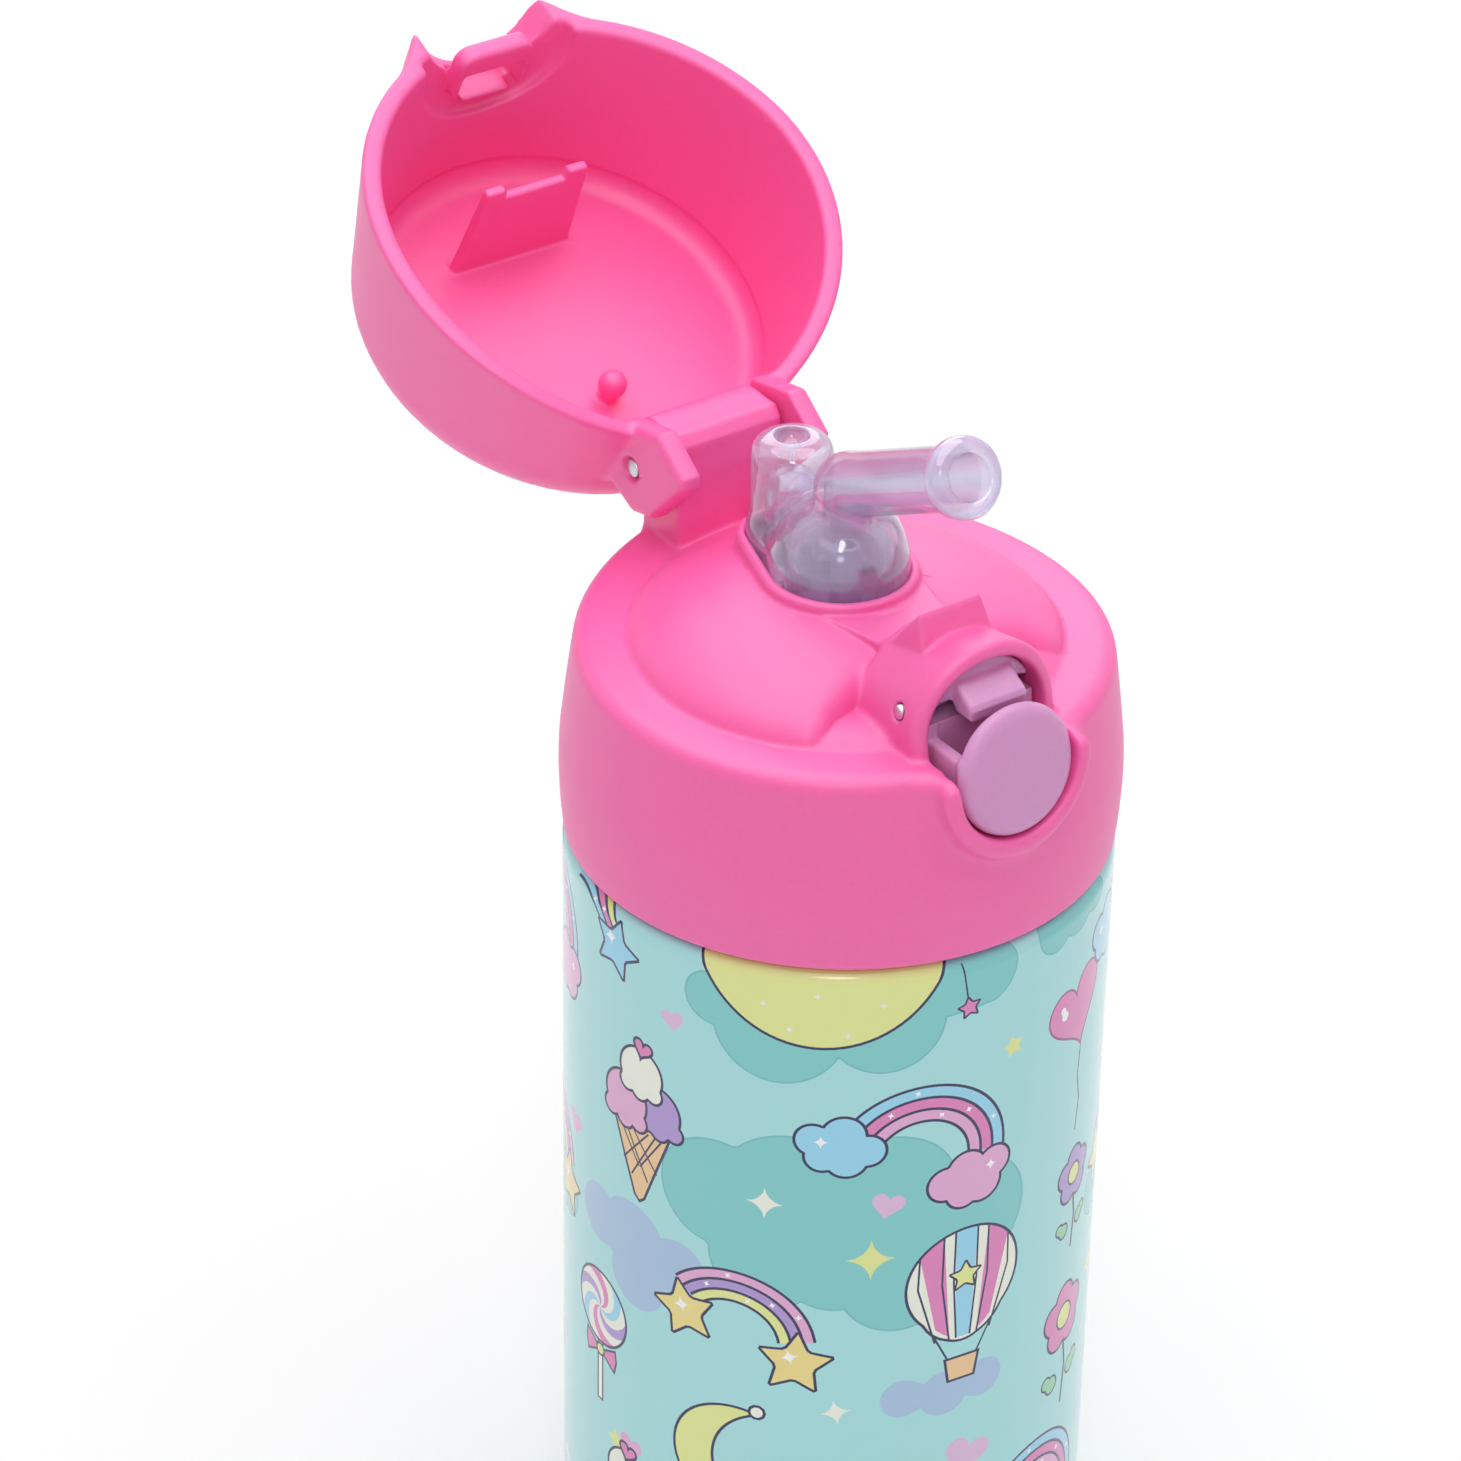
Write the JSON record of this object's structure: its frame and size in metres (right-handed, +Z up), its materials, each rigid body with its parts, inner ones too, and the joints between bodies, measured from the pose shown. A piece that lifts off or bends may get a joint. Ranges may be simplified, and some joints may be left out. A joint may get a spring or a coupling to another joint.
{
  "type": "insulated_straw_bottle",
  "caption": "Insulated kids' water bottle: steel vacuum body, screw collar, flip-open cover with push-button latch and a soft folding straw spout",
  "frame": {"origin": "centre of the flat underside of the base pad, on the bottle's axis", "axes": "+Z up along the bottle's axis, -Y towards the latch button, +Y towards the cover hinge, +X to the right-hand side seen from the button"},
  "size_m": [0.074, 0.1301, 0.2129],
  "materials": {
    "body_paint": "gloss",
    "steel": "satin",
    "lid_plastic": "satin",
    "button_plastic": "satin",
    "clear_silicone": "satin",
    "white_plastic": "matte",
    "soft_grey": "matte"
  },
  "bodies": {
    "bottle": {"outer_shell": "body_paint", "inner_flask": "steel", "base_plate": "steel", "vacuum_seal": "steel", "getter_pellet": "steel", "base_pad": "soft_grey"},
    "gasket": {"neck_gasket": "soft_grey"},
    "collar": {"lid_collar": "lid_plastic", "threaded_insert": "white_plastic", "mouthpiece_base": "clear_silicone", "mouthpiece_retainer": "white_plastic", "straw_connector": "white_plastic", "drinking_straw": "white_plastic", "button_pin": "steel", "button_spring": "steel", "hinge_spring": "steel"},
    "spout": {"spout_tube": "clear_silicone"},
    "cover": {"flip_cover": "lid_plastic", "hinge_pin": "steel"},
    "button": {"push_button": "button_plastic"}
  },
  "joints": [
    {"name": "lid_lift", "type": "slide", "parent": "bottle", "child": "gasket", "axis": [0, 0, 1], "range_m": [0, 0.005]},
    {"name": "collar_turn", "type": "hinge", "parent": "gasket", "child": "collar", "pos_m": [0, 0, 0.145], "axis": [0, 0, 1], "range_deg": [0, 180]},
    {"name": "spout_fold", "type": "hinge", "parent": "collar", "child": "spout", "pos_m": [0, -0.001, 0.182], "axis": [1, 0, 0], "range_deg": [0, 36]},
    {"name": "cover_hinge", "type": "hinge", "parent": "collar", "child": "cover", "pos_m": [0, 0.0315, 0.1715], "axis": [1, 0, 0], "range_deg": [0, 153.8], "deforming": ["spout_tube"]},
    {"name": "button_press", "type": "slide", "parent": "collar", "child": "button", "axis": [0, 1, 0], "range_m": [0, 0.0022]}
  ],
  "couplings": [
    {"joint": "lid_lift", "follows": "collar_turn", "m_per_rad": 0.0015915},
    {"joint": "spout_fold", "follows": "cover_hinge", "ratio": 0.23407}
  ]
}
